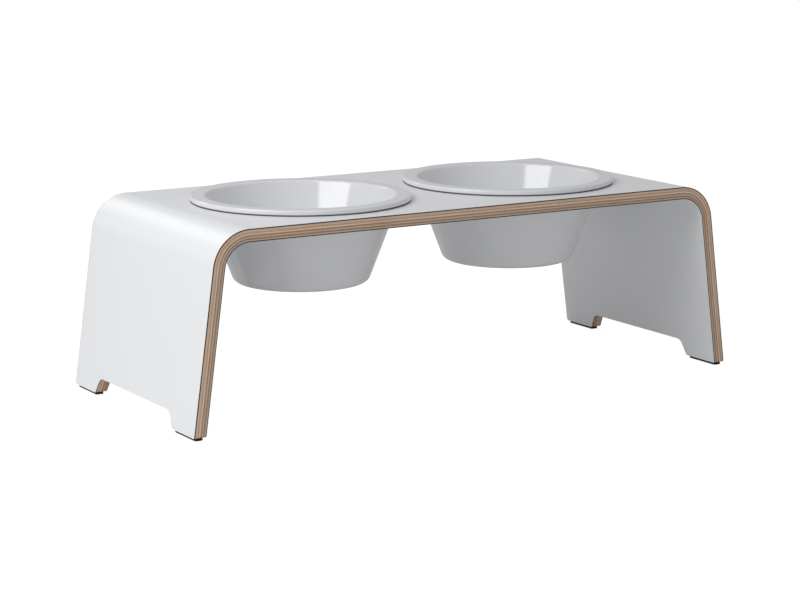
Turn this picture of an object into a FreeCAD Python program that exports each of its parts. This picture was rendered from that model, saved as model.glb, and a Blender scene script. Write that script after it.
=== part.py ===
import FreeCAD, Part
import math
import os
import Sketcher

# Raised feeding station for a dog. A sheet of moulded plywood, laminated on both faces, is bent into
# a bench with two splayed legs. Two bowls hang by their rims in round holes in the bench top, each on
# a black seal ring, and the four feet stand on rubber pads.
#
# Frame: +X along the bench from left to right, -Y towards the front edge, +Z up. The origin is on the
# floor, under the middle of the bench.

# Driving sizes, in millimetres and degrees. The bench is laid out round the bowls that it holds.
SIZES = {
    # Bowls
    "neck_radius": 89.3,  # outside of the wall where it meets the rim
    "neck_fillet": 1.5,
    "rim_overhang": 10.7,  # from the neck out to the edge of the rim
    "rim_thickness": 4.6,
    "rim_edge_radius": 1.6,
    "bowl_height": 79.8,
    "base_radius": 60.8,  # outside of the wall at the base, before rounding
    "base_edge_radius": 8.2,
    "wall_thickness": 4.8,
    "floor_thickness": 5.5,
    "floor_edge_radius": 14.0,
    "lip_edge_radius": 4.2,
    "standing_ring_width": 16.8,  # of the ring that the bowl stands on by itself, before rounding
    "standing_ring_height": 1.2,
    # Seal rings: a flange under the rim and a collar down into the hole
    "seal_thickness": 0.8,
    "seal_inset": 0.5,
    "collar_thickness": 1.2,
    "collar_depth": 4.0,
    "fit_clearance": 0.3,
    # Bench, seen from above
    "bowl_gap": 25.6,  # between the rims
    "side_margin": 20.0,  # from a rim to the front and rear edges
    "end_margin": 16.4,  # from a rim to the start of the bend
    # Bench, seen from the front: a flat top, two bends and two splayed legs
    "bench_height": 175.8,  # floor to top face
    "leg_splay": 8.0,  # degrees from upright
    "bend_radius": 35.0,  # outer face of the bench
    # Layers of the sheet
    "laminate_thickness": 0.8,
    "face_ply_thickness": 2.05,
    "ply_thickness": 1.28,
    # Arch cut out of the bottom of each leg, and the feet that it leaves
    "foot_length": 41.2,  # carried down to the floor
    "foot_corner_radius": 2.0,
    "arch_height": 14.5,  # above the soles
    "arch_lean": 28.0,  # degrees from upright
    "arch_corner_radius": 8.0,
    # Pads under the feet
    "pad_thickness": 2.5,
    "pad_inset": 2.0,
    "pad_corner_radius": 1.5,
}

# Edges are found again by their place, to within this
MATCH_TOLERANCE = 0.001

# Node name and thickness of each layer, from the outer face inwards. Long plies have their grain along
# the bench and round the bends, cross plies have it from front to back.
LAYERS = [
    ("outer_laminate", "laminate_thickness"),
    ("ply_1_long", "face_ply_thickness"),
    ("ply_2_cross", "ply_thickness"),
    ("ply_3_long", "ply_thickness"),
    ("ply_4_cross", "ply_thickness"),
    ("ply_5_long", "ply_thickness"),
    ("ply_6_cross", "ply_thickness"),
    ("ply_7_long", "ply_thickness"),
    ("inner_laminate", "laminate_thickness"),
]

# Sizes that follow from the driving ones, as the sheet's own formulas
DERIVED = {
    "rim_radius": "neck_radius + rim_overhang",
    "standing_ring_radius": "base_radius - standing_ring_width",
    "seal_inner_radius": "neck_radius + neck_fillet + fit_clearance",
    "seal_radius": "rim_radius - seal_inset",
    "collar_radius": "seal_inner_radius + collar_thickness",
    "hole_radius": "collar_radius + fit_clearance",
    "bowl_spacing": "2 * rim_radius + bowl_gap",  # axis to axis
    "bench_depth": "2 * (rim_radius + side_margin)",
    "flat_length": "bowl_spacing + 2 * (rim_radius + end_margin)",  # of the top, between the bends
    "leg_rise": "bench_height - bend_radius - pad_thickness",  # from the soles to the bends' centres
    "leg_run": "(bend_radius + leg_rise * sin(leg_splay * 1 deg)) / cos(leg_splay * 1 deg)",
    "foot_span": "flat_length + 2 * leg_run",  # over the outer faces of the legs, at the soles
    "sheet_thickness": " + ".join(thickness for _, thickness in LAYERS),
    "sole_width": "sheet_thickness / cos(leg_splay * 1 deg)",
    "sole_length": "foot_length + pad_thickness * tan(arch_lean * 1 deg)",
    "arch_floor_width": "bench_depth - 2 * foot_length",
    "arch_top": "pad_thickness + arch_height",
}

# How a sketch numbers the places on a line or an arc, and its own axes
START, END, CENTRE = range(1, 4)
HORIZONTAL_AXIS, VERTICAL_AXIS = range(-1, -3, -1)
ORIGIN = (HORIZONTAL_AXIS, START)

doc = FreeCAD.newDocument("feeding_station")
sheet = doc.addObject("Spreadsheet::Sheet", "sizes")
cells = {alias: str(value) for alias, value in SIZES.items()}
cells |= {alias: f"={formula}" for alias, formula in DERIVED.items()}
for row, (alias, cell) in enumerate(cells.items(), start=1):
    sheet.set(f"A{row}", alias)
    sheet.set(f"B{row}", cell)
    sheet.setAlias(f"B{row}", alias)
doc.recompute()


def size(alias):
    """One of the sheet's sizes, as a number."""
    value = getattr(sheet, alias)
    return getattr(value, "Value", value)


def new_body(name):
    body = doc.addObject("PartDesign::Body", name)
    body.Label = name
    return body


def new_sketch(body, name, role):
    """An empty sketch on one of the body's own origin planes."""
    plane = next(item for item in body.Origin.OriginFeatures if item.Role == role)
    sketch = body.newObject("Sketcher::SketchObject", f"{body.Name}_{name}")
    sketch.AttachmentSupport = (plane, [""])
    sketch.MapMode = "FlatFace"
    return sketch


def constrain(sketch, kind, *places):
    sketch.addConstraint(Sketcher.Constraint(kind, *places))


def dimension(sketch, name, kind, places, formula):
    """A named dimension that a formula in the sheet's sizes drives."""
    index = sketch.addConstraint(Sketcher.Constraint(kind, *places, sketch.evalExpression(formula)))
    sketch.renameConstraint(index, name)
    sketch.setExpression(f"Constraints.{name}", formula)


def line(start, end):
    return Part.LineSegment(FreeCAD.Vector(*start), FreeCAD.Vector(*end))


def arc(centre, radius, start_angle, end_angle):
    circle = Part.Circle(FreeCAD.Vector(*centre), FreeCAD.Vector(0, 0, 1), radius)
    return Part.ArcOfCircle(circle, start_angle, end_angle)


def closed_outline(sketch, points):
    """Straight lines from point to point and back to the first one."""
    following = points[1:] + points[:1]
    edges = sketch.addGeometry([line(a, b) for a, b in zip(points, following)])
    for edge, next_edge in zip(edges, edges[1:] + edges[:1]):
        constrain(sketch, "Coincident", edge, END, next_edge, START)
    return edges


def pad(body, sketch, length, symmetric):
    feature = body.newObject("PartDesign::Pad", f"{body.Name}_pad")
    feature.Profile = sketch
    feature.SideType = "Symmetric" if symmetric else "One side"
    feature.setExpression("Length", length)
    doc.recompute()
    return feature


def pocket_through(body, sketch, name, side, reverse):
    """A pocket right through the body, which has to take something away."""
    volume = body.Shape.Volume
    feature = body.newObject("PartDesign::Pocket", f"{body.Name}_{name}")
    feature.Profile = sketch
    feature.Type = "ThroughAll"
    feature.SideType = side
    feature.Reversed = reverse
    doc.recompute()
    if body.Shape.Volume >= volume:
        raise RuntimeError(f"{feature.Name} cuts nothing")
    return feature


def revolve(body, sketch):
    feature = body.newObject("PartDesign::Revolution", f"{body.Name}_revolution")
    feature.Profile = sketch
    feature.ReferenceAxis = (sketch, ["V_Axis"])
    doc.recompute()
    return feature


def fillet(body, name, edges, radius):
    base = body.Tip
    feature = body.newObject("PartDesign::Fillet", f"{body.Name}_{name}")
    feature.Base = (base, edges)
    feature.setExpression("Radius", radius)
    doc.recompute()
    return feature


def circle_edge(body, radius, height):
    """Name of the round edge at this radius and height about the body's own Z axis."""
    for index, edge in enumerate(body.Tip.Shape.Edges, start=1):
        if not isinstance(edge.Curve, Part.Circle):
            continue
        radius_error = abs(edge.Curve.Radius - radius)
        height_error = abs(edge.Curve.Center.z - height)
        if max(radius_error, height_error) < MATCH_TOLERANCE:
            return f"Edge{index}"
    raise RuntimeError(f"{body.Name} has no round edge at radius {radius}, height {height}")


# Bench layers


def draw_bent_line(sketch, depth):
    """The line that lies this deep under the bench's outer face, from the left sole to the right one."""
    splay = math.radians(size("leg_splay"))
    radius = size("bend_radius") - depth
    sole = size("pad_thickness")
    foot = size("foot_span") / 2 - depth / math.cos(splay)
    centre_x = size("flat_length") / 2
    centre_z = sole + size("leg_rise")
    bend_x = centre_x + radius * math.cos(splay)
    bend_z = centre_z + radius * math.sin(splay)
    top_z = centre_z + radius
    left_leg, left_bend, top, right_bend, right_leg = sketch.addGeometry([
        line((-foot, sole), (-bend_x, bend_z)),
        arc((-centre_x, centre_z), radius, math.pi / 2, math.pi - splay),
        line((-centre_x, top_z), (centre_x, top_z)),
        arc((centre_x, centre_z), radius, splay, math.pi / 2),
        line((bend_x, bend_z), (foot, sole)),
    ])
    constrain(sketch, "Tangent", left_leg, END, left_bend, END)
    constrain(sketch, "Tangent", left_bend, START, top, START)
    constrain(sketch, "Tangent", top, END, right_bend, END)
    constrain(sketch, "Tangent", right_bend, START, right_leg, START)
    return left_leg, left_bend, top, right_bend, right_leg


def draw_layer_profile(sketch, depth, depth_formula, thickness):
    """A layer's section: one bent line above another, joined at the soles."""
    left_leg, left_bend, top, right_bend, right_leg = draw_bent_line(sketch, depth)
    inner_lines = draw_bent_line(sketch, depth + size(thickness))
    inner_left_leg, inner_left_bend, inner_top, inner_right_bend, inner_right_leg = inner_lines

    for outer_leg, inner_leg, foot in (
        (left_leg, inner_left_leg, START),
        (right_leg, inner_right_leg, END),
    ):
        corners = [sketch.getPoint(leg, foot) for leg in (outer_leg, inner_leg)]
        sole = sketch.addGeometry(Part.LineSegment(*corners))
        constrain(sketch, "Coincident", outer_leg, foot, sole, START)
        constrain(sketch, "Coincident", inner_leg, foot, sole, END)
        constrain(sketch, "Horizontal", sole)
        constrain(sketch, "Parallel", outer_leg, inner_leg)

    constrain(sketch, "Symmetric", top, START, top, END, VERTICAL_AXIS)
    constrain(sketch, "Symmetric", left_leg, START, right_leg, END, VERTICAL_AXIS)
    constrain(sketch, "Equal", left_bend, right_bend)
    constrain(sketch, "Coincident", left_bend, CENTRE, inner_left_bend, CENTRE)
    constrain(sketch, "Coincident", right_bend, CENTRE, inner_right_bend, CENTRE)
    constrain(sketch, "Horizontal", inner_top)

    height = f"sizes.bench_height - ({depth_formula})"
    span = f"sizes.foot_span - 2 * ({depth_formula}) / cos(sizes.leg_splay * 1 deg)"
    dimension(sketch, "bend", "Radius", (left_bend,), f"sizes.bend_radius - ({depth_formula})")
    dimension(sketch, "height", "DistanceY", (*ORIGIN, top, START), height)
    dimension(sketch, "thickness", "DistanceY", (inner_top, START, top, START), f"sizes.{thickness}")
    dimension(sketch, "slope", "Angle", (left_leg,), "(90 - sizes.leg_splay) * 1 deg")
    dimension(sketch, "sole", "DistanceY", (*ORIGIN, left_leg, START), "sizes.pad_thickness")
    dimension(sketch, "span", "DistanceX", (left_leg, START, right_leg, END), span)


def draw_holes(sketch):
    """The two round holes that the bowls hang in."""
    offset = size("bowl_spacing") / 2
    normal = FreeCAD.Vector(0, 0, 1)
    left, right = sketch.addGeometry([
        Part.Circle(FreeCAD.Vector(side * offset, 0, 0), normal, size("hole_radius")) for side in (-1, 1)
    ])
    constrain(sketch, "PointOnObject", left, CENTRE, HORIZONTAL_AXIS)
    constrain(sketch, "Symmetric", left, CENTRE, right, CENTRE, VERTICAL_AXIS)
    constrain(sketch, "Equal", left, right)
    dimension(sketch, "hole", "Radius", (left,), "sizes.hole_radius")
    dimension(sketch, "spacing", "DistanceX", (left, CENTRE, right, CENTRE), "sizes.bowl_spacing")


def draw_arch(sketch):
    """The cut-out between a leg's two feet: leaning sides and rounded upper corners."""
    lean = math.radians(size("arch_lean"))
    radius = size("arch_corner_radius")
    top = size("arch_top")
    floor_half = size("arch_floor_width") / 2
    corner = floor_half - top * math.tan(lean)
    centre_y = corner - radius * math.tan((math.pi / 2 - lean) / 2)
    centre_z = top - radius
    side_y = centre_y + radius * math.cos(lean)
    side_z = centre_z + radius * math.sin(lean)
    floor_line, right_side, right_corner, top_line, left_corner, left_side = sketch.addGeometry([
        line((-floor_half, 0), (floor_half, 0)),
        line((floor_half, 0), (side_y, side_z)),
        arc((centre_y, centre_z), radius, lean, math.pi / 2),
        line((centre_y, top), (-centre_y, top)),
        arc((-centre_y, centre_z), radius, math.pi / 2, math.pi - lean),
        line((-side_y, side_z), (-floor_half, 0)),
    ])
    constrain(sketch, "Coincident", floor_line, END, right_side, START)
    constrain(sketch, "Tangent", right_side, END, right_corner, START)
    constrain(sketch, "Tangent", right_corner, END, top_line, START)
    constrain(sketch, "Tangent", top_line, END, left_corner, START)
    constrain(sketch, "Tangent", left_corner, END, left_side, START)
    constrain(sketch, "Coincident", left_side, END, floor_line, START)
    constrain(sketch, "PointOnObject", floor_line, START, HORIZONTAL_AXIS)
    constrain(sketch, "Symmetric", floor_line, START, floor_line, END, VERTICAL_AXIS)
    constrain(sketch, "Symmetric", top_line, START, top_line, END, VERTICAL_AXIS)
    constrain(sketch, "Equal", right_corner, left_corner)
    dimension(sketch, "width", "DistanceX", (floor_line, START, floor_line, END), "sizes.arch_floor_width")
    dimension(sketch, "height", "DistanceY", (*ORIGIN, top_line, START), "sizes.arch_top")
    dimension(sketch, "corner", "Radius", (right_corner,), "sizes.arch_corner_radius")
    dimension(sketch, "lean", "Angle", (right_side,), "(90 + sizes.arch_lean) * 1 deg")


def foot_corner_edges(body):
    """Names of the short edges where a sole meets the front, the rear and the sides of the arch."""
    sole = size("pad_thickness")
    names = []
    for index, edge in enumerate(body.Tip.Shape.Edges, start=1):
        first, last = edge.firstVertex().Point, edge.lastVertex().Point
        on_sole = max(abs(first.z - sole), abs(last.z - sole)) < MATCH_TOLERANCE
        if on_sole and abs(first.y - last.y) < MATCH_TOLERANCE:
            names.append(f"Edge{index}")
    return names


def make_layer(name, thickness, layers_above):
    """One layer of the sheet: bent, padded to the bench's depth, bored for the bowls and arched."""
    depth = sum(size(above) for above in layers_above)
    depth_formula = " + ".join(f"sizes.{above}" for above in layers_above) or "0"
    body = new_body(name)
    profile = new_sketch(body, "profile", "XZ_Plane")
    draw_layer_profile(profile, depth, depth_formula, thickness)
    pad(body, profile, "sizes.bench_depth", symmetric=True)
    holes = new_sketch(body, "holes", "XY_Plane")
    draw_holes(holes)
    pocket_through(body, holes, "bore", "One side", reverse=True)
    arch = new_sketch(body, "arch", "YZ_Plane")
    draw_arch(arch)
    pocket_through(body, arch, "arch_cut", "Symmetric", reverse=False)
    fillet(body, "foot_corners", foot_corner_edges(body), "sizes.foot_corner_radius")
    return body


# Pads


def make_pad(name, side, end):
    """A rubber strip under one foot. Side is -1 at the left leg, and end is -1 at the front."""
    body = new_body(name)
    outline = new_sketch(body, "outline", "XY_Plane")
    half_width = size("sole_width") / 2 - size("pad_inset")
    half_length = size("sole_length") / 2 - size("pad_inset")
    front, right, rear, left = closed_outline(outline, [
        (-half_width, -half_length),
        (half_width, -half_length),
        (half_width, half_length),
        (-half_width, half_length),
    ])
    constrain(outline, "Horizontal", front)
    constrain(outline, "Vertical", right)
    constrain(outline, "Horizontal", rear)
    constrain(outline, "Vertical", left)
    constrain(outline, "Symmetric", front, START, rear, START, *ORIGIN)
    width = "sizes.sole_width - 2 * sizes.pad_inset"
    length = "sizes.sole_length - 2 * sizes.pad_inset"
    dimension(outline, "width", "DistanceX", (front, START, front, END), width)
    dimension(outline, "length", "DistanceY", (right, START, right, END), length)
    strip = pad(body, outline, "sizes.pad_thickness", symmetric=False)
    upright = [
        f"Edge{index}" for index, edge in enumerate(strip.Shape.Edges, start=1)
        if edge.BoundBox.ZLength > MATCH_TOLERANCE
    ]
    fillet(body, "corners", upright, "sizes.pad_corner_radius")
    body.setExpression("Placement.Base.x", f"{side} * (sizes.foot_span - sizes.sole_width) / 2")
    body.setExpression("Placement.Base.y", f"{end} * (sizes.bench_depth - sizes.sole_length) / 2")
    return body


# Bowls and their seal rings


def hang_in_hole(body, side):
    """Puts a round piece on the axis of one hole, its own zero height on the bench's top face."""
    body.setExpression("Placement.Base.x", f"{side} * sizes.bowl_spacing / 2")
    body.setExpression("Placement.Base.z", "sizes.bench_height")


def make_bowl(name, side):
    """A bowl with a flat rim, a conical wall, a rounded base and a shallow standing ring."""
    rim_under = size("seal_thickness")
    rim_top = rim_under + size("rim_thickness")
    base = rim_top - size("bowl_height")
    recess = base + size("standing_ring_height")
    floor = base + size("floor_thickness")
    flare = (size("neck_radius") - size("base_radius")) / (rim_under - base)
    wall_across = size("wall_thickness") * math.hypot(1, flare)
    lip_radius = size("neck_radius") + size("rim_thickness") * flare - wall_across
    floor_radius = size("base_radius") + size("floor_thickness") * flare - wall_across

    body = new_body(name)
    profile = new_sketch(body, "profile", "XZ_Plane")
    edges = closed_outline(profile, [
        (0, recess),
        (size("standing_ring_radius"), recess),
        (size("standing_ring_radius"), base),
        (size("base_radius"), base),
        (size("neck_radius"), rim_under),
        (size("rim_radius"), rim_under),
        (size("rim_radius"), rim_top),
        (lip_radius, rim_top),
        (floor_radius, floor),
        (0, floor),
    ])
    underside, ring_side, ring_sole, wall, rim_below, rim_side, rim_face, inner_wall, inside, axis = edges
    for level in (underside, ring_sole, rim_below, rim_face, inside):
        constrain(profile, "Horizontal", level)
    for upright in (ring_side, rim_side):
        constrain(profile, "Vertical", upright)
    for end_on_axis in (START, END):
        constrain(profile, "PointOnObject", axis, end_on_axis, VERTICAL_AXIS)
    constrain(profile, "Parallel", wall, inner_wall)
    for label, place, formula in (
        ("standing_ring", (ring_side, START), "sizes.standing_ring_radius"),
        ("base", (wall, START), "sizes.base_radius"),
        ("neck", (wall, END), "sizes.neck_radius"),
        ("rim", (rim_side, START), "sizes.rim_radius"),
    ):
        dimension(profile, f"{label}_radius", "DistanceX", (*ORIGIN, *place), formula)
    for label, low, high, formula in (
        ("seat", ORIGIN, (rim_side, START), "sizes.seal_thickness"),
        ("rim", (rim_side, START), (rim_side, END), "sizes.rim_thickness"),
        ("bowl", (wall, START), (rim_side, END), "sizes.bowl_height"),
        ("standing_ring", (ring_side, END), (ring_side, START), "sizes.standing_ring_height"),
        ("floor", (wall, START), (inside, START), "sizes.floor_thickness"),
    ):
        dimension(profile, f"{label}_height", "DistanceY", (*low, *high), formula)
    dimension(profile, "wall", "Distance", (inner_wall, START, wall), "sizes.wall_thickness")

    revolve(body, profile)
    fillet(body, "base_edge", [circle_edge(body, size("base_radius"), base)], "sizes.base_edge_radius")
    fillet(body, "floor_edge", [circle_edge(body, floor_radius, floor)], "sizes.floor_edge_radius")
    fillet(body, "neck", [circle_edge(body, size("neck_radius"), rim_under)], "sizes.neck_fillet")
    fillet(body, "lip", [circle_edge(body, lip_radius, rim_top)], "sizes.lip_edge_radius")
    rim_edges = [circle_edge(body, size("rim_radius"), height) for height in (rim_under, rim_top)]
    fillet(body, "rim_edges", rim_edges, "sizes.rim_edge_radius")
    hang_in_hole(body, side)
    return body


def make_seal_ring(name, side):
    """A flat flange between rim and bench top, with a collar that centres it in the hole."""
    inner = size("seal_inner_radius")
    collar = size("collar_radius")
    outer = size("seal_radius")
    top = size("seal_thickness")
    bottom = -size("collar_depth")

    body = new_body(name)
    profile = new_sketch(body, "profile", "XZ_Plane")
    edges = closed_outline(profile, [
        (inner, top),
        (inner, bottom),
        (collar, bottom),
        (collar, 0),
        (outer, 0),
        (outer, top),
    ])
    bore, collar_end, collar_side, flange_below, flange_side, flange_face = edges
    for level in (collar_end, flange_below, flange_face):
        constrain(profile, "Horizontal", level)
    for upright in (bore, collar_side, flange_side):
        constrain(profile, "Vertical", upright)
    constrain(profile, "PointOnObject", flange_below, START, HORIZONTAL_AXIS)
    for label, place, formula in (
        ("bore", (bore, START), "sizes.seal_inner_radius"),
        ("collar", (collar_side, START), "sizes.collar_radius"),
        ("flange", (flange_side, START), "sizes.seal_radius"),
    ):
        dimension(profile, f"{label}_radius", "DistanceX", (*ORIGIN, *place), formula)
    for label, upright, formula in (
        ("flange", flange_side, "sizes.seal_thickness"),
        ("collar", collar_side, "sizes.collar_depth"),
    ):
        dimension(profile, f"{label}_height", "DistanceY", (upright, START, upright, END), formula)
    revolve(body, profile)
    hang_in_hole(body, side)
    return body


# The whole station

bodies = []
for position, (layer_name, layer_thickness) in enumerate(LAYERS):
    above_it = [thickness for _, thickness in LAYERS[:position]]
    bodies.append(make_layer(layer_name, layer_thickness, above_it))
for side_name, side_sign in (("left", -1), ("right", 1)):
    bodies.append(make_bowl(f"{side_name}_bowl", side_sign))
    bodies.append(make_seal_ring(f"{side_name}_seal_ring", side_sign))
    for end_name, end_sign in (("front", -1), ("rear", 1)):
        bodies.append(make_pad(f"{end_name}_{side_name}_pad", side_sign, end_sign))
doc.recompute()

failed = [item.Label for item in doc.Objects if {"Invalid", "Error"} & set(item.State)]
if failed:
    raise RuntimeError(f"failed objects: {failed}")
loose = [item.Label for item in doc.findObjects("Sketcher::SketchObject") if not item.FullyConstrained]
if loose:
    raise RuntimeError(f"sketches that are not fully constrained: {loose}")
for body in bodies:
    if body.Shape.isNull() or not body.Shape.isValid() or len(body.Shape.Solids) != 1:
        raise RuntimeError(f"{body.Label} is not one valid solid")

os.makedirs("parts", exist_ok=True)
for body in bodies:
    body.Shape.exportStep(f"parts/{body.Label}.step")
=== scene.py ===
import math

import bpy
from bpy.props import FloatProperty, FloatVectorProperty, IntProperty, PointerProperty
from mathutils import Matrix, Vector


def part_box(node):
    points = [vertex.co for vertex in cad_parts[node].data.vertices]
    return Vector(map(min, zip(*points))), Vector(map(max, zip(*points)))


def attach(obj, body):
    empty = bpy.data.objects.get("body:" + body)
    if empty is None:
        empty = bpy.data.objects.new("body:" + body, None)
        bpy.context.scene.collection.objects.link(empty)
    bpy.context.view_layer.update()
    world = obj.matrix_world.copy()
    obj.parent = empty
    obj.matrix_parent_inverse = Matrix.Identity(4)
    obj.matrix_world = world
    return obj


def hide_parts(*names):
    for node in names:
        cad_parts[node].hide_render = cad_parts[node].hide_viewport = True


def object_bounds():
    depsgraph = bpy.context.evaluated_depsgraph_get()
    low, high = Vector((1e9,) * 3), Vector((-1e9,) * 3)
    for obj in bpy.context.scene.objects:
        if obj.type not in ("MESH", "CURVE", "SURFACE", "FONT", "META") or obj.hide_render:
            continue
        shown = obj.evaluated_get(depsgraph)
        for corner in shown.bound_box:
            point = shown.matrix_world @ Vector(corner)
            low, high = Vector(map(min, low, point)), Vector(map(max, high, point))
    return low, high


bl_info = {
    "name": "Raised Feeding Station",
    "version": (1, 0, 0),
    "blender": (4, 5, 0),
    "location": "3D View > Sidebar > Feeder",
    "description": (
        "Dresses a raised feeding station: a bent plywood bench, porcelain bowls, seal rings and pads"
    ),
    "category": "Object",
}

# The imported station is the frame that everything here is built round
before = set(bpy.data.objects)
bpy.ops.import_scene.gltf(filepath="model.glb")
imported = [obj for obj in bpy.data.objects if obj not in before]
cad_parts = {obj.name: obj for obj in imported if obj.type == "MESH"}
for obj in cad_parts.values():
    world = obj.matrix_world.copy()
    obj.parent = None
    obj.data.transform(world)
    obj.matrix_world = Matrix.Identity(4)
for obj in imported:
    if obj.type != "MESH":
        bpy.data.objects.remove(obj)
CAD_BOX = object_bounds()
BENCH_LOW, BENCH_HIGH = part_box("outer_laminate")
BOWL_LOW, BOWL_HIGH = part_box("left_bowl")
BOWL_AXIS_X = (BOWL_HIGH.x - BOWL_LOW.x) / 2 - BOWL_HIGH.x

MERGE_DISTANCE = 2e-6
SHARP_ANGLE = math.radians(35)
EASED_SEGMENTS = 2
SENSOR_WIDTH = 36.0

# Veneers are darker where the glue between them has soaked in
GLUE_REACH = 0.0002
GLUE_SHADE = 0.75

# Wood: the scales of its noises, per metre, and how far streaks and pores are drawn out along the grain
STREAK_SCALE = 700.0
PORE_SCALE = 2600.0
DRIFT_SCALE = 24.0
GRAIN_STRETCH = 0.05

# The drift changes this much faster through the sheet, so that each veneer has its own
DRIFT_BY_DEPTH = 12

# Noise between which a streak or a pore comes in, and how much of the dark colour each brings
STREAK_RANGE = (0.35, 0.7)
PORE_RANGE = (0.56, 0.7)
STREAK_SHARE = 0.55
PORE_SHARE = 0.4
DRIFT_SHARE = 0.5

# The speckle of an even finish is this many times finer than its slow drift
SPECKLE_FINENESS = 40

# Middle of a noise's range
NOISE_MIDDLE = 0.5

# Layers of the bent sheet from its outer face inwards: the frame's node, and what it is made of
LAYERS = [
    ("outer_laminate", "laminate"),
    ("ply_1_long", "long"),
    ("ply_2_cross", "cross"),
    ("ply_3_long", "long"),
    ("ply_4_cross", "cross"),
    ("ply_5_long", "long"),
    ("ply_6_cross", "cross"),
    ("ply_7_long", "long"),
    ("inner_laminate", "laminate"),
]
SIDES = {"left": -1, "right": 1}
PADS = ["front_left_pad", "rear_left_pad", "front_right_pad", "rear_right_pad"]


# Settings


def length(label, description, default):
    return FloatProperty(
        name=label, description=description, default=default, min=0, unit="LENGTH", precision=5
    )


def angle(label, description, degrees):
    return FloatProperty(name=label, description=description, default=math.radians(degrees), subtype="ANGLE")


def share(label, description, default):
    return FloatProperty(name=label, description=description, default=default, min=0, max=1, subtype="FACTOR")


def power(label, description, default):
    return FloatProperty(name=label, description=description, default=default, min=0, unit="POWER")


def facets(label, description, default, least):
    return IntProperty(name=label, description=description, default=default, min=least)


def colour(label, description, hex_code):
    """A colour property from its usual six-figure code, kept as linear light."""
    return FloatVectorProperty(
        name=label, description=description, default=linear(hex_code), size=3, min=0, max=1, subtype="COLOR"
    )


def linear(hex_code):
    """Linear light of a colour written as six hexadecimal figures."""
    channels = [int(hex_code[place:place + 2], 16) / 255 for place in (0, 2, 4)]
    return [c / 12.92 if c <= 0.04045 else ((c + 0.055) / 1.055) ** 2.4 for c in channels]


class BenchSettings(bpy.types.PropertyGroup):
    depth: length("Depth", "Front edge to rear edge", BENCH_HIGH.y - BENCH_LOW.y)
    height: length("Height", "Floor to top face", BENCH_HIGH.z)
    span: length("Span", "Over the outer faces of the legs, at the soles", BENCH_HIGH.x - BENCH_LOW.x)
    sole_height: length("Sole height", "Floor to the soles of the legs", BENCH_LOW.z)
    splay: angle("Splay", "Lean of the legs from upright", 8)
    bend_radius: length("Bend radius", "Radius of the outer face at the bends", 0.035)
    laminate: length("Laminate", "Thickness of each laminate", 0.0008)
    face_ply: length("Face veneer", "Thickness of the outermost veneer", 0.00205)
    ply: length("Veneer", "Thickness of each other veneer", 0.00128)
    hole_radius: length("Hole radius", "Radius of the holes for the bowls", 0.0926)
    foot_length: length("Foot length", "Length of each foot, carried down to the floor", 0.0412)
    foot_corner: length("Foot corner", "Rounding of the feet's corners", 0.002)
    arch_top: length("Arch top", "Height of the arch between the feet", 0.017)
    arch_lean: angle("Arch lean", "Lean of the arch's sides from upright", 28)
    arch_corner: length("Arch corner", "Rounding of the arch's upper corners", 0.008)
    eased_edge: length("Eased edge", "Rounding of the laminate's cut edges", 0.0003)
    bend_segments: facets("Bend segments", "Facets in each bend", 40, 4)
    hole_segments: facets("Hole segments", "Facets round each hole", 144, 12)


class BowlSettings(bpy.types.PropertyGroup):
    rim_radius: length("Rim radius", "Outside of the rim", (BOWL_HIGH.x - BOWL_LOW.x) / 2)
    rim_top: length("Rim top", "Floor to the top of the rim", BOWL_HIGH.z)
    base: length("Base", "Floor to the underside of the bowl", BOWL_LOW.z)
    rim_thickness: length("Rim thickness", "Thickness of the rim", 0.0046)
    rim_edge: length("Rim edge", "Rounding of the rim's outer edges", 0.0016)
    neck_radius: length("Neck radius", "Outside of the wall under the rim", 0.0893)
    neck_fillet: length("Neck fillet", "Hollow rounding between wall and rim", 0.0015)
    base_radius: length("Base radius", "Outside of the wall at the base, before rounding", 0.0608)
    base_edge: length("Base edge", "Rounding of the base", 0.0082)
    wall: length("Wall", "Thickness of the wall", 0.0048)
    floor: length("Floor", "Thickness of the bowl's floor", 0.0055)
    floor_edge: length("Floor edge", "Rounding between wall and floor, inside", 0.014)
    lip: length("Lip", "Rounding of the rim's inner edge", 0.0026)
    ring_radius: length("Ring radius", "Inside of the ring that the bowl stands on", 0.044)
    ring_height: length("Ring height", "Height of the ring that the bowl stands on", 0.0012)
    ring_edge: length("Ring edge", "Rounding of that ring's inner edges", 0.0004)
    turn_segments: facets("Turn segments", "Facets round the bowl", 192, 12)
    edge_segments: facets("Edge segments", "Facets in each rounding", 16, 2)


class FinishSettings(bpy.types.PropertyGroup):
    laminate: colour("Laminate", "White decor of the laminate", "EDEEF0")
    laminate_core: colour("Laminate core", "Dark paper core at the laminate's cut edges", "2E231E")
    long_light: colour("Long veneer", "Veneer cut along its grain", "D8BEA6")
    long_dark: colour("Long veneer streaks", "Darker streaks along the grain", "B99D87")
    cross_light: colour("Cross veneer", "Veneer cut across its grain", "A98A74")
    cross_dark: colour("Cross veneer pores", "Pores in the end grain", "7B604C")
    glaze: colour("Glaze", "Glazed porcelain", "E6E7EA")
    bisque: colour("Bisque", "Unglazed porcelain under the bowl", "D8D2C6")
    silicone: colour("Silicone", "Seal rings", "4C4C4E")
    rubber: colour("Rubber", "Pads under the feet", "1C1C1C")


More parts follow.
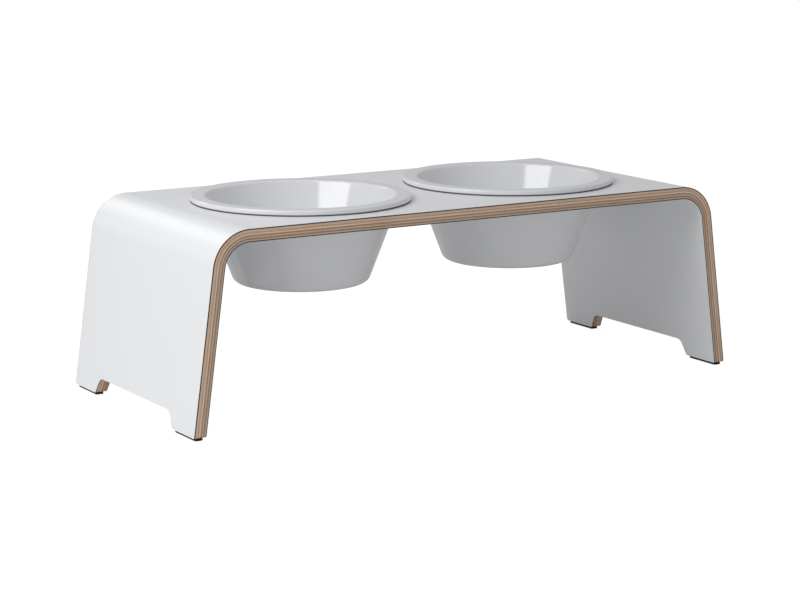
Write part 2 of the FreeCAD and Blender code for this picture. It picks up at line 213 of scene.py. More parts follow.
class StageSettings(bpy.types.PropertyGroup):
    floor: colour("Floor", "Studio floor", "ECECEC")
    glow: share("Glow", "How far the floor is lifted to white for the camera", 0.9)
    shadow: share("Shadow", "How much of the light and shadow on the floor the camera sees", 0.3)
    sky: FloatProperty(name="Sky", description="Strength of the even studio light", default=0.466, min=0)
    key: power("Key", "Power of the softbox on the left", 6.75)
    back: power("Back", "Power of the softbox behind", 1.07)
    azimuth: angle("Camera azimuth", "Camera's direction round the station, from the front", -31.844)
    elevation: angle("Camera elevation", "Camera's height above the horizon", 11.122)
    roll: angle("Camera roll", "Camera's turn about its own axis", 0.072)
    lens: FloatProperty(
        name="Lens", description="Focal length on a 36 mm sensor", default=104.69, unit="CAMERA"
    )


class FeederSettings(bpy.types.PropertyGroup):
    bench: PointerProperty(type=BenchSettings)
    bowl: PointerProperty(type=BowlSettings)
    finish: PointerProperty(type=FinishSettings)
    stage: PointerProperty(type=StageSettings)


# Node trees


class Formula:
    """A node's socket in plain arithmetic: each step becomes a Math node."""

    def __init__(self, tree, socket):
        self.tree = tree
        self.socket = socket

    def __add__(self, other):
        return calculate(self.tree, "ADD", self, other)

    def __sub__(self, other):
        return calculate(self.tree, "SUBTRACT", self, other)

    def __mul__(self, other):
        return calculate(self.tree, "MULTIPLY", self, other)

    def __truediv__(self, other):
        return calculate(self.tree, "DIVIDE", self, other)

    def __neg__(self):
        return self * -1


def calculate(tree, operation, *values):
    node = tree.nodes.new("ShaderNodeMath")
    node.operation = operation
    for socket, value in zip(node.inputs, values):
        feed(tree, socket, value)
    return Formula(tree, node.outputs[0])


def feed(tree, socket, value):
    """Links a socket to a formula, a node or a socket, or sets it to a plain value."""
    if isinstance(value, Formula):
        value = value.socket
    elif isinstance(value, bpy.types.Node):
        value = value.outputs[0]
    if isinstance(value, bpy.types.NodeSocket):
        tree.links.new(value, socket)
    else:
        socket.default_value = value


def add_node(tree, kind, inputs, **settings):
    """A new node with its settings, and its inputs fed by name."""
    node = tree.nodes.new(kind)
    for name, value in settings.items():
        setattr(node, name, value)
    for name, value in inputs.items():
        feed(tree, node.inputs[name], value)
    return node


def new_group(kind, name, inputs, outputs):
    """A node group, the formulas of its inputs by name, and its output node."""
    tree = bpy.data.node_groups.new(name, kind)
    for label, socket_type in inputs.items():
        tree.interface.new_socket(label, in_out="INPUT", socket_type=f"NodeSocket{socket_type}")
    for label, socket_type in outputs.items():
        tree.interface.new_socket(label, in_out="OUTPUT", socket_type=f"NodeSocket{socket_type}")
    entry = tree.nodes.new("NodeGroupInput")
    exit_node = tree.nodes.new("NodeGroupOutput")
    return tree, {label: Formula(tree, entry.outputs[label]) for label in inputs}, exit_node


def combine(tree, x, y, z):
    return add_node(tree, "ShaderNodeCombineXYZ", {"X": x, "Y": y, "Z": z})


# Shapes by Geometry Nodes


def pick_by_index(tree, data_type, choices):
    """A field that gives each point the choice at its own index."""
    node = tree.nodes.new("GeometryNodeIndexSwitch")
    node.data_type = data_type
    while len(node.index_switch_items) < len(choices):
        node.index_switch_items.new()
    feed(tree, node.inputs[0], tree.nodes.new("GeometryNodeInputIndex"))
    for socket, choice in zip(list(node.inputs)[1:], choices):
        feed(tree, socket, choice)
    return node


def rounded_outline(tree, corners, segments, closed):
    """A curve in XY through the corners (x, y, radius), each rounded to its radius."""
    places = pick_by_index(tree, "VECTOR", [combine(tree, x, y, 0) for x, y, _ in corners])
    radii = pick_by_index(tree, "FLOAT", [radius for _, _, radius in corners])
    rounding = calculate(tree, "GREATER_THAN", radii, 0) * segments
    points = add_node(tree, "GeometryNodePoints", {"Count": len(corners), "Position": places})
    curve = add_node(tree, "GeometryNodePointsToCurves", {"Points": points})
    curve = add_node(tree, "GeometryNodeSetSplineCyclic", {"Geometry": curve, "Cyclic": closed})
    return add_node(
        tree, "GeometryNodeFilletCurve", {"Curve": curve, "Count": rounding, "Radius": radii}, mode="POLY"
    )


def merged(tree, mesh):
    """A mesh with its doubled points made one."""
    return add_node(tree, "GeometryNodeMergeByDistance", {"Geometry": mesh, "Distance": MERGE_DISTANCE})


def prism(tree, outline, extent, rotation):
    """A closed prism on an outline, drawn about the origin and then turned."""
    face = add_node(tree, "GeometryNodeFillCurve", {"Curve": outline}, mode="NGONS")
    walls = add_node(
        tree, "GeometryNodeExtrudeMesh", {"Mesh": face, "Offset Scale": extent, "Individual": False},
        mode="FACES",
    )
    base = add_node(tree, "GeometryNodeFlipFaces", {"Mesh": face})
    joined = tree.nodes.new("GeometryNodeJoinGeometry")
    for part in (walls, base):
        tree.links.new(part.outputs[0], joined.inputs[0])
    to_middle = combine(tree, 0, 0, extent * -0.5)
    centred = add_node(
        tree, "GeometryNodeTransform", {"Geometry": merged(tree, joined), "Translation": to_middle}
    )
    return add_node(tree, "GeometryNodeTransform", {"Geometry": centred, "Rotation": rotation})


def finished_mesh(tree, exit_node, mesh, material):
    """Smooth faces with sharp edges, realized and with their material, to the group's output."""
    edge_angle = tree.nodes.new("GeometryNodeInputMeshEdgeAngle")
    sharp = add_node(
        tree, "FunctionNodeCompare", {"A": edge_angle, "B": SHARP_ANGLE},
        data_type="FLOAT", operation="GREATER_THAN",
    )
    smooth = add_node(
        tree, "GeometryNodeSetShadeSmooth", {"Geometry": mesh, "Shade Smooth": True}, domain="FACE"
    )
    edged = add_node(
        tree, "GeometryNodeSetShadeSmooth", {"Geometry": smooth, "Selection": sharp, "Shade Smooth": False},
        domain="EDGE",
    )
    realized = add_node(tree, "GeometryNodeRealizeInstances", {"Geometry": edged})
    dressed = add_node(tree, "GeometryNodeSetMaterial", {"Geometry": realized, "Material": material})
    feed(tree, exit_node.inputs[0], dressed)


def bent_layer_tree():
    """One layer of the bench: its front view meets its side view, less the holes for the bowls."""
    labels = [
        "Depth Below Face", "Thickness", "Bench Depth", "Bench Height", "Foot Span", "Sole Height",
        "Leg Splay", "Bend Radius", "Hole Radius", "Hole Offset", "Foot Length", "Foot Corner", "Arch Top",
        "Arch Lean", "Arch Corner",
    ]
    inputs = {label: "Float" for label in labels}
    inputs |= {"Bend Segments": "Int", "Hole Segments": "Int", "Tone": "Float", "Material": "Material"}
    tree, given, exit_node = new_group("GeometryNodeTree", "Bent layer", inputs, {"Mesh": "Geometry"})

    # Front view: the bent line at the layer's upper face, and back along the one at its lower face
    sole = given["Sole Height"]
    lean = calculate(tree, "TANGENT", given["Leg Splay"])
    slant = calculate(tree, "COSINE", given["Leg Splay"])
    upper = given["Depth Below Face"]
    bent_lines = []
    for depth in (upper, upper + given["Thickness"]):
        top = given["Bench Height"] - depth
        foot = given["Foot Span"] * 0.5 - depth / slant
        corner = foot - (top - sole) * lean
        radius = given["Bend Radius"] - depth
        bent_lines.append([(-foot, sole, 0), (-corner, top, radius), (corner, top, radius), (foot, sole, 0)])
    front_corners = bent_lines[0] + bent_lines[1][::-1]
    front_view = rounded_outline(tree, front_corners, given["Bend Segments"], True)
    bent_sheet = prism(tree, front_view, given["Bench Depth"], (math.pi / 2, 0, 0))

    # Side view: two feet with the arch between them
    half = given["Bench Depth"] * 0.5
    rise = calculate(tree, "TANGENT", given["Arch Lean"])
    arch_floor = half - given["Foot Length"]
    arch_sole = arch_floor - sole * rise
    arch_shoulder = arch_floor - given["Arch Top"] * rise
    above = given["Bench Height"] * 2
    half_view = [
        (arch_shoulder, given["Arch Top"], given["Arch Corner"]),
        (arch_sole, sole, given["Foot Corner"]),
        (half, sole, given["Foot Corner"]),
        (half, above, 0),
    ]
    side_corners = half_view + [(-x, y, radius) for x, y, radius in half_view[::-1]]
    side_view = rounded_outline(tree, side_corners, given["Bend Segments"], True)
    arched_block = prism(tree, side_view, given["Foot Span"] * 2, (math.pi / 2, 0, math.pi / 2))
    arched_sheet = add_node(tree, "GeometryNodeMeshBoolean", {}, operation="INTERSECT", solver="MANIFOLD")
    for part in (bent_sheet, arched_block):
        tree.links.new(part.outputs[0], arched_sheet.inputs["Mesh 2"])

    # Holes for the bowls
    bored_sheet = add_node(
        tree, "GeometryNodeMeshBoolean", {"Mesh 1": arched_sheet}, operation="DIFFERENCE", solver="MANIFOLD"
    )
    for sign in SIDES.values():
        cutter = add_node(
            tree, "GeometryNodeMeshCylinder",
            {"Vertices": given["Hole Segments"], "Radius": given["Hole Radius"], "Depth": above},
        )
        place = combine(tree, given["Hole Offset"] * sign, 0, given["Bench Height"])
        moved = add_node(tree, "GeometryNodeTransform", {"Geometry": cutter, "Translation": place})
        tree.links.new(moved.outputs[0], bored_sheet.inputs["Mesh 2"])
    layer = combine(tree, given["Tone"], given["Depth Below Face"], given["Thickness"])
    marked = add_node(
        tree, "GeometryNodeStoreNamedAttribute",
        {"Geometry": merged(tree, bored_sheet), "Name": "layer", "Value": layer},
        data_type="FLOAT_VECTOR", domain="POINT",
    )
    finished_mesh(tree, exit_node, marked, given["Material"])
    return tree


def bowl_tree():
    """A bowl turned from its profile about its own axis."""
    labels = [
        "Axis X", "Rim Radius", "Rim Top", "Base", "Rim Thickness", "Rim Edge", "Neck Radius", "Neck Fillet",
        "Base Radius", "Base Edge", "Wall", "Floor", "Floor Edge", "Lip", "Ring Radius", "Ring Height",
        "Ring Edge",
    ]
    inputs = {label: "Float" for label in labels}
    inputs |= {"Turn Segments": "Int", "Edge Segments": "Int", "Material": "Material"}
    tree, given, exit_node = new_group("GeometryNodeTree", "Turned bowl", inputs, {"Mesh": "Geometry"})
    base, rim_top = given["Base"], given["Rim Top"]
    rim_under = rim_top - given["Rim Thickness"]
    recess = base + given["Ring Height"]
    floor = base + given["Floor"]
    flare = (given["Neck Radius"] - given["Base Radius"]) / (rim_under - base)
    slope = calculate(tree, "SQRT", flare * flare + 1)
    wall_across = given["Wall"] * slope
    lip_radius = given["Neck Radius"] + given["Rim Thickness"] * flare - wall_across
    floor_radius = given["Base Radius"] + given["Floor"] * flare - wall_across
    corners = [
        (0, recess, 0),
        (given["Ring Radius"], recess, given["Ring Edge"]),
        (given["Ring Radius"], base, given["Ring Edge"]),
        (given["Base Radius"], base, given["Base Edge"]),
        (given["Neck Radius"], rim_under, given["Neck Fillet"]),
        (given["Rim Radius"], rim_under, given["Rim Edge"]),
        (given["Rim Radius"], rim_top, given["Rim Edge"]),
        (lip_radius, rim_top, given["Lip"]),
        (floor_radius, floor, given["Floor Edge"]),
        (0, floor, 0),
    ]
    # Along a circle, a profile's X points outwards from the circle itself and its Y points down
    path_radius = given["Rim Radius"]
    drawn = [(-path_radius if r == 0 else r - path_radius, -z, radius) for r, z, radius in corners]
    profile = rounded_outline(tree, drawn, given["Edge Segments"], False)
    circle = add_node(
        tree, "GeometryNodeCurvePrimitiveCircle",
        {"Resolution": given["Turn Segments"], "Radius": path_radius}, mode="RADIUS",
    )
    turned = add_node(tree, "GeometryNodeCurveToMesh", {"Curve": circle, "Profile Curve": profile})
    place = combine(tree, given["Axis X"], 0, 0)
    placed = add_node(
        tree, "GeometryNodeTransform", {"Geometry": merged(tree, turned), "Translation": place}
    )
    finished_mesh(tree, exit_node, placed, given["Material"])
    return tree


def new_piece(name, tree, values, eased_edge=0):
    """A plain mesh object from a Geometry Nodes tree, its edges eased and its shading set."""
    piece = bpy.data.objects.new(name, bpy.data.meshes.new(name))
    bpy.context.scene.collection.objects.link(piece)
    modifier = piece.modifiers.new("Shape", "NODES")
    modifier.node_group = tree
    for item in tree.interface.items_tree:
        if item.item_type == "SOCKET" and item.in_out == "INPUT":
            modifier[item.identifier] = values[item.name]
    if eased_edge:
        easing = piece.modifiers.new("Eased edges", "BEVEL")
        easing.width = eased_edge
        easing.segments = EASED_SEGMENTS
        easing.limit_method = "ANGLE"
        easing.angle_limit = SHARP_ANGLE
        easing.use_clamp_overlap = True
    shading = piece.modifiers.new("Shading", "WEIGHTED_NORMAL")
    shading.keep_sharp = True
    graph = bpy.context.evaluated_depsgraph_get()
    shaped = piece.evaluated_get(graph)
    mesh = bpy.data.meshes.new_from_object(shaped, preserve_all_data_layers=True, depsgraph=graph)
    mesh.name = name
    piece.modifiers.clear()
    piece.data = mesh
    if not mesh.polygons:
        raise RuntimeError(f"{name} came out empty")
    return piece


# Finishes


def shader_group(name, inputs, outputs):
    return new_group("ShaderNodeTree", name, inputs, outputs)


def use_group(tree, group, **inputs):
    node = tree.nodes.new("ShaderNodeGroup")
    node.node_tree = group
    for name, value in inputs.items():
        feed(tree, node.inputs[name.replace("_", " ")], value)
    return node


def vector_math(tree, operation, first, second):
    node = tree.nodes.new("ShaderNodeVectorMath")
    node.operation = operation
    feed(tree, node.inputs[0], first)
    feed(tree, node.inputs[1], second)
    return node


def dot(tree, first, second):
    return Formula(tree, vector_math(tree, "DOT_PRODUCT", first, second).outputs["Value"])


def noise(tree, vector, scale, detail, roughness=0.5):
    node = add_node(
        tree, "ShaderNodeTexNoise",
        {"Vector": vector, "Scale": scale, "Detail": detail, "Roughness": roughness},
    )
    return Formula(tree, node.outputs["Fac"])


def remap(tree, value, low, high, to_low=0.0, to_high=1.0):
    """A value smoothly carried from one range to another, and held at its ends."""
    node = add_node(
        tree, "ShaderNodeMapRange",
        {"Value": value, "From Min": low, "From Max": high, "To Min": to_low, "To Max": to_high},
        interpolation_type="SMOOTHSTEP",
    )
    return Formula(tree, node.outputs["Result"])


def mix_colours(tree, factor, first, second):
    node = tree.nodes.new("ShaderNodeMix")
    node.data_type = "RGBA"
    feed(tree, node.inputs[0], factor)
    feed(tree, node.inputs[6], first)
    feed(tree, node.inputs[7], second)
    return node.outputs[2]


def shaded(tree, base, shade):
    """A colour made lighter or darker by a value near 1."""
    node = vector_math(tree, "SCALE", base, (0, 0, 0))
    feed(tree, node.inputs["Scale"], shade)
    return node


def rgba(values):
    return (*values, 1.0)


def object_place(tree):
    return tree.nodes.new("ShaderNodeTexCoord").outputs["Object"]


def object_axis(tree, axis):
    """A point's X, Y or Z in its object's own coordinates, which are the frame's."""
    parts = add_node(tree, "ShaderNodeSeparateXYZ", {"Vector": object_place(tree)})
    return Formula(tree, parts.outputs[axis])


def object_normal(tree):
    return tree.nodes.new("ShaderNodeTexCoord").outputs["Normal"]


def sheet_place_group():
    """Where a point lies in the bent sheet: along it, how deep, and which way the sheet faces."""
    inputs = {"Flat Half": "Float", "Bend Height": "Float", "Bend Radius": "Float", "Leg Splay": "Float"}
    outputs = {"Along": "Float", "Depth": "Float", "Facing": "Vector", "Lengthwise": "Vector"}
    tree, given, exit_node = shader_group("Place in the sheet", inputs, outputs)
    x, z = object_axis(tree, "X"), object_axis(tree, "Z")
    distance = calculate(tree, "ABSOLUTE", x)
    side = calculate(tree, "SIGN", x)
    out = distance - given["Flat Half"]
    up = z - given["Bend Height"]
    last_turn = -given["Leg Splay"] + math.pi / 2
    turn = calculate(tree, "ARCTAN2", out, up)
    turn = calculate(tree, "MINIMUM", calculate(tree, "MAXIMUM", turn, 0), last_turn)
    sine, cosine = calculate(tree, "SINE", turn), calculate(tree, "COSINE", turn)
    down_leg = calculate(tree, "MAXIMUM", out * cosine - up * sine, 0)
    on_top = calculate(tree, "MINIMUM", distance, given["Flat Half"])
    feed(tree, exit_node.inputs["Along"], (on_top + given["Bend Radius"] * turn + down_leg) * side)
    feed(tree, exit_node.inputs["Depth"], given["Bend Radius"] - (out * sine + up * cosine))
    feed(tree, exit_node.inputs["Facing"], combine(tree, side * sine, 0, cosine))
    feed(tree, exit_node.inputs["Lengthwise"], combine(tree, cosine, 0, -(side * sine)))
    return tree


def mottle_group():
    """Slow drift and fine speckle that break up an even finish."""
    inputs = {"Scale": "Float", "Drift": "Float", "Speckle": "Float"}
    outputs = {"Shade": "Float", "Grain": "Float"}
    tree, given, exit_node = shader_group("Mottle", inputs, outputs)
    place = object_place(tree)
    slow = noise(tree, place, given["Scale"], detail=2.0)
    fine = noise(tree, place, given["Scale"] * SPECKLE_FINENESS, detail=3.0)
    shade = (slow - NOISE_MIDDLE) * given["Drift"] + (fine - NOISE_MIDDLE) * given["Speckle"] + 1
    feed(tree, exit_node.inputs["Shade"], shade)
    feed(tree, exit_node.inputs["Grain"], fine)
    return tree


def veneer_group():
    """Wood cut along or across its grain, with streaks, pores and darker end grain."""
    inputs = {
        "Along Grain": "Float", "Across Grain": "Float", "Depth": "Float", "Grain Direction": "Vector",
        "Light": "Color", "Dark": "Color", "Tone": "Float", "From Glue": "Float",
    }
    outputs = {"Color": "Color", "Roughness": "Float", "Height": "Float"}
    tree, given, exit_node = shader_group("Veneer", inputs, outputs)
    along, across, depth = given["Along Grain"], given["Across Grain"], given["Depth"]
    stretched = combine(tree, along * GRAIN_STRETCH, across, depth)
    streaks = noise(tree, stretched, STREAK_SCALE, detail=5.0, roughness=0.6)
    pores = noise(tree, stretched, PORE_SCALE, detail=2.0)
    drift = noise(tree, combine(tree, along, across, depth * DRIFT_BY_DEPTH), DRIFT_SCALE, detail=2.0)
    end_grain = calculate(tree, "ABSOLUTE", dot(tree, object_normal(tree), given["Grain Direction"]))
    streaked = remap(tree, streaks, *STREAK_RANGE)
    pored = remap(tree, pores, *PORE_RANGE) * end_grain
    dark_share = streaked * STREAK_SHARE + pored * PORE_SHARE + (drift - NOISE_MIDDLE) * DRIFT_SHARE
    wood = mix_colours(tree, calculate(tree, "MAXIMUM", dark_share, 0), given["Light"], given["Dark"])
    glue = remap(tree, given["From Glue"], 0.0, GLUE_REACH, GLUE_SHADE, 1.0)
    feed(tree, exit_node.inputs["Color"], shaded(tree, wood, given["Tone"] * glue))
    feed(tree, exit_node.inputs["Roughness"], streaks * 0.2 + 0.45)
    feed(tree, exit_node.inputs["Height"], streaked * -0.5 - pored)
    return tree


def new_material(name):
    material = bpy.data.materials.new(name)
    material.use_nodes = True
    tree = material.node_tree
    return material, tree, tree.nodes["Principled BSDF"]


def add_bump(tree, surface, height, strength, distance):
    bump = add_node(tree, "ShaderNodeBump", {"Height": height, "Strength": strength, "Distance": distance})
    feed(tree, surface.inputs["Normal"], bump)


class Finishes:
    """The station's materials, each made once."""

    # The outer decor paper is worn off the front and rear edges: gone up to the first distance from the
    # edge, and whole from the second
    CORE_LINE = (0.00032, 0.0004)

    # A face is a broad one where it lies this nearly in the sheet, from not at all to wholly
    BROAD_FACING = (0.8, 0.9)

    # Glue from the outer laminate stains the first veneer down to this depth
    STAIN_DEPTH = 0.0015
    STAIN_SHADE = 0.55

    # The glaze stops above the sole of the ring that the bowl stands on: none below the first height over
    # the sole, whole from the second
    GLAZE_LINE = (0.0003, 0.0006)
    GLAZE_IOR = 1.7

    # Roughness of the laminate's cut core and of the glaze, and how far decor and bisque are from them
    CORE_ROUGHNESS = 0.56
    DECOR_SMOOTHER = 0.28
    GLAZE_ROUGHNESS = 0.09
    BISQUE_ROUGHER = 0.5

    # Depth of a bump: of a finish's fine grain, and of the slow waves in the glaze
    FINE_BUMP = 0.0001
    GLAZE_WAVES = 0.0004

    def __init__(self, settings):
        self.bench = settings.bench
        self.finish = settings.finish
        self.sheet_place = sheet_place_group()
        self.mottle = mottle_group()
        self.veneer = veneer_group()
        self.materials = {
            "laminate": self.laminate(),
            "long": self.wood("Long veneer", "long", self.finish.long_light, self.finish.long_dark),
            "cross": self.wood("Cross veneer", "cross", self.finish.cross_light, self.finish.cross_dark),
            "porcelain": self.porcelain(),
            "silicone": self.elastic("Black silicone", self.finish.silicone, roughness=0.32, scale=45.0),
            "rubber": self.elastic("Black rubber", self.finish.rubber, roughness=0.6, scale=80.0),
        }

    def place_in_sheet(self, tree):
        bench = self.bench
        rise = (bench.height - bench.bend_radius - bench.sole_height) * math.sin(bench.splay)
        run = (bench.bend_radius + rise) / math.cos(bench.splay)
        return use_group(
            tree, self.sheet_place,
            Flat_Half=bench.span / 2 - run, Bend_Height=bench.height - bench.bend_radius,
            Bend_Radius=bench.bend_radius, Leg_Splay=bench.splay,
        )

    def laminate(self):
        """White decor on the broad faces, the dark paper core where the sheet is cut."""
        material, tree, surface = new_material("White laminate")
        place = self.place_in_sheet(tree)
        facing = dot(tree, object_normal(tree), place.outputs["Facing"])
        from_middle = calculate(tree, "ABSOLUTE", object_axis(tree, "Y"))
        from_edge = calculate(tree, "SUBTRACT", BENCH_HIGH.y, from_middle)
        unworn = remap(tree, from_edge, *self.CORE_LINE)
        inward = calculate(tree, "LESS_THAN", facing, 0.0)
        broad = remap(tree, calculate(tree, "ABSOLUTE", facing), *self.BROAD_FACING)
        decor = broad * calculate(tree, "MAXIMUM", unworn, inward)
        mottle = use_group(tree, self.mottle, Scale=18.0, Drift=0.015, Speckle=0.012)
        white = shaded(tree, self.finish.laminate, mottle.outputs["Shade"])
        core = shaded(tree, self.finish.laminate_core, mottle.outputs["Shade"])
        feed(tree, surface.inputs["Base Color"], mix_colours(tree, decor, core, white))
        grain = Formula(tree, mottle.outputs["Grain"])
        roughness = grain * 0.08 + decor * -self.DECOR_SMOOTHER + self.CORE_ROUGHNESS
        feed(tree, surface.inputs["Roughness"], roughness)
        add_bump(tree, surface, grain, strength=0.08, distance=self.FINE_BUMP)
        return material

    def wood(self, name, grain, light, dark):
        """A veneer with its grain along the bench or from front to back."""
        material, tree, surface = new_material(name)
        place = self.place_in_sheet(tree)
        stored = add_node(tree, "ShaderNodeAttribute", {}, attribute_name="layer").outputs["Vector"]
        layer = add_node(tree, "ShaderNodeSeparateXYZ", {"Vector": stored})
        tone, upper_face, thickness = (Formula(tree, output) for output in layer.outputs)
        below_face = Formula(tree, place.outputs["Depth"]) - upper_face
        from_glue = calculate(tree, "MINIMUM", below_face, thickness - below_face)
        stain = remap(
            tree, place.outputs["Depth"], self.bench.laminate, self.STAIN_DEPTH, self.STAIN_SHADE, 1.0
        )
        along, across = place.outputs["Along"], object_axis(tree, "Y")
        direction = place.outputs["Lengthwise"]
        if grain == "cross":
            along, across = across, along
            direction = combine(tree, 0, 1, 0)
        veneer = use_group(
            tree, self.veneer,
            Along_Grain=along, Across_Grain=across, Depth=place.outputs["Depth"], Grain_Direction=direction,
            Light=rgba(light), Dark=rgba(dark), Tone=tone * stain, From_Glue=from_glue,
        )
        feed(tree, surface.inputs["Base Color"], veneer.outputs["Color"])
        feed(tree, surface.inputs["Roughness"], veneer.outputs["Roughness"])
        add_bump(tree, surface, veneer.outputs["Height"], strength=0.25, distance=self.FINE_BUMP)
        return material

    def porcelain(self):
        """White glaze, left off the ring that the bowl stands on."""
        material, tree, surface = new_material("Glazed porcelain")
        bare_below, glazed_above = (BOWL_LOW.z + height for height in self.GLAZE_LINE)
        bare = remap(tree, object_axis(tree, "Z"), bare_below, glazed_above, 1.0, 0.0)
        mottle = use_group(tree, self.mottle, Scale=14.0, Drift=0.012, Speckle=0.006)
        glaze = shaded(tree, self.finish.glaze, mottle.outputs["Shade"])
        bisque = shaded(tree, self.finish.bisque, mottle.outputs["Shade"])
        feed(tree, surface.inputs["Base Color"], mix_colours(tree, bare, glaze, bisque))
        grain = Formula(tree, mottle.outputs["Grain"])
        roughness = grain * 0.03 + bare * self.BISQUE_ROUGHER + self.GLAZE_ROUGHNESS
        feed(tree, surface.inputs["Roughness"], roughness)
        surface.inputs["IOR"].default_value = self.GLAZE_IOR
        waves = noise(tree, object_place(tree), scale=60.0, detail=1.0)
        add_bump(tree, surface, waves, strength=0.03, distance=self.GLAZE_WAVES)
        return material

    def elastic(self, name, base, roughness, scale):
        """A matt, dark elastic, slightly dusty."""
        material, tree, surface = new_material(name)
        mottle = use_group(tree, self.mottle, Scale=scale, Drift=0.3, Speckle=0.4)
        feed(tree, surface.inputs["Base Color"], shaded(tree, base, mottle.outputs["Shade"]))
        grain = Formula(tree, mottle.outputs["Grain"])
        feed(tree, surface.inputs["Roughness"], grain * 0.2 + roughness)
        add_bump(tree, surface, grain, strength=0.3, distance=self.FINE_BUMP)
        return material


def finishes():
    """The materials by their plain names, made at the first call."""
    if not hasattr(finishes, "made"):
        finishes.made = Finishes(bpy.context.scene.feeder)
    return finishes.made.materials


def dress_node(name, material):
    """Gives one of the frame's own nodes a material."""
    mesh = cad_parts[name].data
    mesh.materials.clear()
    mesh.materials.append(material)


# Operators


class FEEDER_OT_bench(bpy.types.Operator):
    """Builds the bent bench, layer by layer"""

    bl_idname = "feeder.bench"
    bl_label = "Bench Layers"

    # Brightness of each layer's wood against its finish
    TONES = [1.0, 1.07, 1.72, 1.29, 1.18, 1.0, 1.08, 0.91, 1.0]

    def execute(self, context):
        bench = context.scene.feeder.bench
        thicknesses = [bench.laminate, bench.face_ply, *[bench.ply] * (len(LAYERS) - 3), bench.laminate]
        tree = bent_layer_tree()
        depth = 0.0
        for (node, kind), thickness, tone in zip(LAYERS, thicknesses, self.TONES):
            values = {
                "Depth Below Face": depth, "Thickness": thickness, "Bench Depth": bench.depth,
                "Bench Height": bench.height, "Foot Span": bench.span, "Sole Height": bench.sole_height,
                "Leg Splay": bench.splay, "Bend Radius": bench.bend_radius, "Hole Radius": bench.hole_radius,
                "Hole Offset": BOWL_AXIS_X, "Foot Length": bench.foot_length,
                "Foot Corner": bench.foot_corner, "Arch Top": bench.arch_top, "Arch Lean": bench.arch_lean,
                "Arch Corner": bench.arch_corner, "Bend Segments": bench.bend_segments,
                "Hole Segments": bench.hole_segments, "Tone": tone, "Material": finishes()[kind],
            }
            layer = new_piece(f"bench_{node}", tree, values, bench.eased_edge if kind == "laminate" else 0)
            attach(layer, "stand")
            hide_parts(node)
            depth += thickness
        return {"FINISHED"}


class FEEDER_OT_bowls(bpy.types.Operator):
    """Turns the two porcelain bowls"""

    bl_idname = "feeder.bowls"
    bl_label = "Bowls"

    def execute(self, context):
        bowl = context.scene.feeder.bowl
        tree = bowl_tree()
        for side, sign in SIDES.items():
            values = {
                "Axis X": sign * BOWL_AXIS_X, "Rim Radius": bowl.rim_radius, "Rim Top": bowl.rim_top,
                "Base": bowl.base, "Rim Thickness": bowl.rim_thickness, "Rim Edge": bowl.rim_edge,
                "Neck Radius": bowl.neck_radius, "Neck Fillet": bowl.neck_fillet,
                "Base Radius": bowl.base_radius, "Base Edge": bowl.base_edge, "Wall": bowl.wall,
                "Floor": bowl.floor, "Floor Edge": bowl.floor_edge, "Lip": bowl.lip,
                "Ring Radius": bowl.ring_radius, "Ring Height": bowl.ring_height,
                "Ring Edge": bowl.ring_edge, "Turn Segments": bowl.turn_segments,
                "Edge Segments": bowl.edge_segments, "Material": finishes()["porcelain"],
            }
            piece = new_piece(f"{side}_porcelain_bowl", tree, values)
            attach(piece, f"{side}_bowl")
            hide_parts(f"{side}_bowl")
        return {"FINISHED"}


class FEEDER_OT_seal_rings(bpy.types.Operator):
    """Dresses the seal rings under the rims"""

    bl_idname = "feeder.seal_rings"
    bl_label = "Seal Rings"

    def execute(self, context):
        for side in SIDES:
            dress_node(f"{side}_seal_ring", finishes()["silicone"])
        return {"FINISHED"}


class FEEDER_OT_pads(bpy.types.Operator):
    """Dresses the pads under the feet"""

    bl_idname = "feeder.pads"
    bl_label = "Pads"

    def execute(self, context):
        for pad in PADS:
            dress_node(pad, finishes()["rubber"])
        return {"FINISHED"}


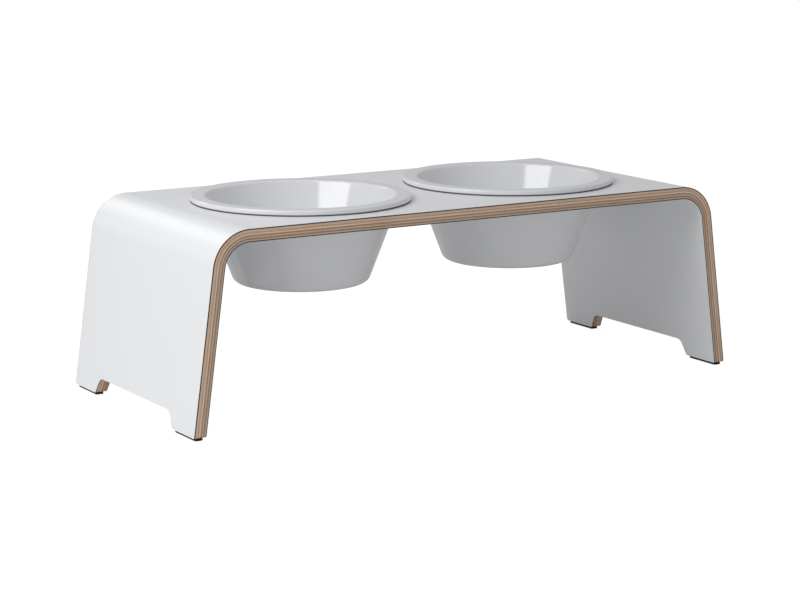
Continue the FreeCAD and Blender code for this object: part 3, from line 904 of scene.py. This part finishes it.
class FEEDER_OT_stage(bpy.types.Operator):
    """Sets up the studio: floor, even light, softboxes and camera"""

    bl_idname = "feeder.stage"
    bl_label = "Studio"

    FLOOR_SIZE = 60.0
    CAMERA_PLACE = (-1.13116, -1.80916, 0.49131)

    # Softboxes: direction from the station in degrees, distance and size in metres
    KEY = {"azimuth": -80, "elevation": 40, "distance": 1.25, "size": (0.76, 0.75)}
    BACK = {"azimuth": -166, "elevation": 30, "distance": 1.6, "size": (0.6, 0.3)}

    def execute(self, context):
        stage = context.scene.feeder.stage
        context.scene.view_settings.view_transform = "Standard"
        self.floor(context, stage)
        self.sky(context, stage)
        self.softbox(context, "key_softbox", stage.key, **self.KEY)
        self.softbox(context, "back_softbox", stage.back, **self.BACK)
        self.camera(context, stage)
        return {"FINISHED"}

    def floor(self, context, stage):
        """A pale floor, white to the camera but for the station's own shadow, and clear from below."""
        half = self.FLOOR_SIZE / 2
        mesh = bpy.data.meshes.new("studio_floor")
        corners = [(-half, -half, 0), (half, -half, 0), (half, half, 0), (-half, half, 0)]
        mesh.from_pydata(corners, [], [(0, 1, 2, 3)])
        floor = bpy.data.objects.new("studio_floor", mesh)
        context.scene.collection.objects.link(floor)
        material, tree, surface = new_material("Studio floor")
        seen = Formula(tree, tree.nodes.new("ShaderNodeLightPath").outputs["Is Camera Ray"])
        lit = mix_colours(tree, seen, rgba(stage.floor), rgba([stage.shadow] * 3))
        feed(tree, surface.inputs["Base Color"], lit)
        surface.inputs["Roughness"].default_value = 1.0
        surface.inputs["Specular IOR Level"].default_value = 0.0
        surface.inputs["Emission Color"].default_value = rgba((1, 1, 1))
        feed(tree, surface.inputs["Emission Strength"], seen * stage.glow)
        from_below = tree.nodes.new("ShaderNodeNewGeometry").outputs["Backfacing"]
        feed(tree, surface.inputs["Alpha"], calculate(tree, "SUBTRACT", 1.0, from_below))
        mesh.materials.append(material)

    def sky(self, context, stage):
        world = bpy.data.worlds.new("Studio")
        world.use_nodes = True
        context.scene.world = world
        tree = world.node_tree
        background = tree.nodes["Background"]
        background.inputs["Color"].default_value = rgba((1, 1, 1))
        seen = Formula(tree, tree.nodes.new("ShaderNodeLightPath").outputs["Is Camera Ray"])
        strength = seen * (1 - stage.sky) + stage.sky
        feed(tree, background.inputs["Strength"], strength)

    def softbox(self, context, name, power, azimuth, elevation, distance, size):
        light = bpy.data.lights.new(name, "AREA")
        light.shape = "RECTANGLE"
        light.size, light.size_y = size
        light.energy = power
        lamp = bpy.data.objects.new(name, light)
        context.scene.collection.objects.link(lamp)
        aim = (CAD_BOX[0] + CAD_BOX[1]) / 2
        towards = direction(math.radians(azimuth), math.radians(elevation))
        lamp.location = aim + towards * distance
        lamp.rotation_euler = (-towards).to_track_quat("-Z", "Y").to_euler()

    def camera(self, context, stage):
        lens = bpy.data.cameras.new("camera")
        lens.lens = stage.lens
        lens.sensor_width = SENSOR_WIDTH
        camera = bpy.data.objects.new("camera", lens)
        context.scene.collection.objects.link(camera)
        aim = -direction(stage.azimuth, stage.elevation)
        turn = aim.to_track_quat("-Z", "Y").to_matrix().to_4x4()
        roll = Matrix.Rotation(stage.roll, 4, "Z")
        camera.matrix_world = Matrix.Translation(self.CAMERA_PLACE) @ turn @ roll
        context.scene.camera = camera


def direction(azimuth, elevation):
    """From the station towards a place round it: azimuth 0 is in front, and negative is to the left."""
    level = math.cos(elevation)
    return Vector((math.sin(azimuth) * level, -math.cos(azimuth) * level, math.sin(elevation)))


class FEEDER_PT_panel(bpy.types.Panel):
    """Lists the steps that build the station's looks"""

    bl_idname = "FEEDER_PT_panel"
    bl_label = "Raised Feeding Station"
    bl_space_type = "VIEW_3D"
    bl_region_type = "UI"
    bl_category = "Feeder"

    def draw(self, context):
        layout = self.layout
        for operator in OPERATORS:
            layout.operator(operator.bl_idname)
        for group in ("bench", "bowl", "finish", "stage"):
            box = layout.box()
            settings = getattr(context.scene.feeder, group)
            for name in settings.bl_rna.properties.keys():
                if name not in ("rna_type", "name"):
                    box.prop(settings, name)


SETTINGS = [BenchSettings, BowlSettings, FinishSettings, StageSettings, FeederSettings]
OPERATORS = [FEEDER_OT_bench, FEEDER_OT_bowls, FEEDER_OT_seal_rings, FEEDER_OT_pads, FEEDER_OT_stage]
CLASSES = [*SETTINGS, *OPERATORS, FEEDER_PT_panel]


def register():
    for item in CLASSES:
        bpy.utils.register_class(item)
    bpy.types.Scene.feeder = PointerProperty(type=FeederSettings)


def unregister():
    del bpy.types.Scene.feeder
    for item in reversed(CLASSES):
        bpy.utils.unregister_class(item)


def main():
    register()
    bpy.ops.feeder.bench()
    bpy.ops.feeder.bowls()
    bpy.ops.feeder.seal_rings()
    bpy.ops.feeder.pads()
    bpy.ops.feeder.stage()


if __name__ == "__main__":
    main()
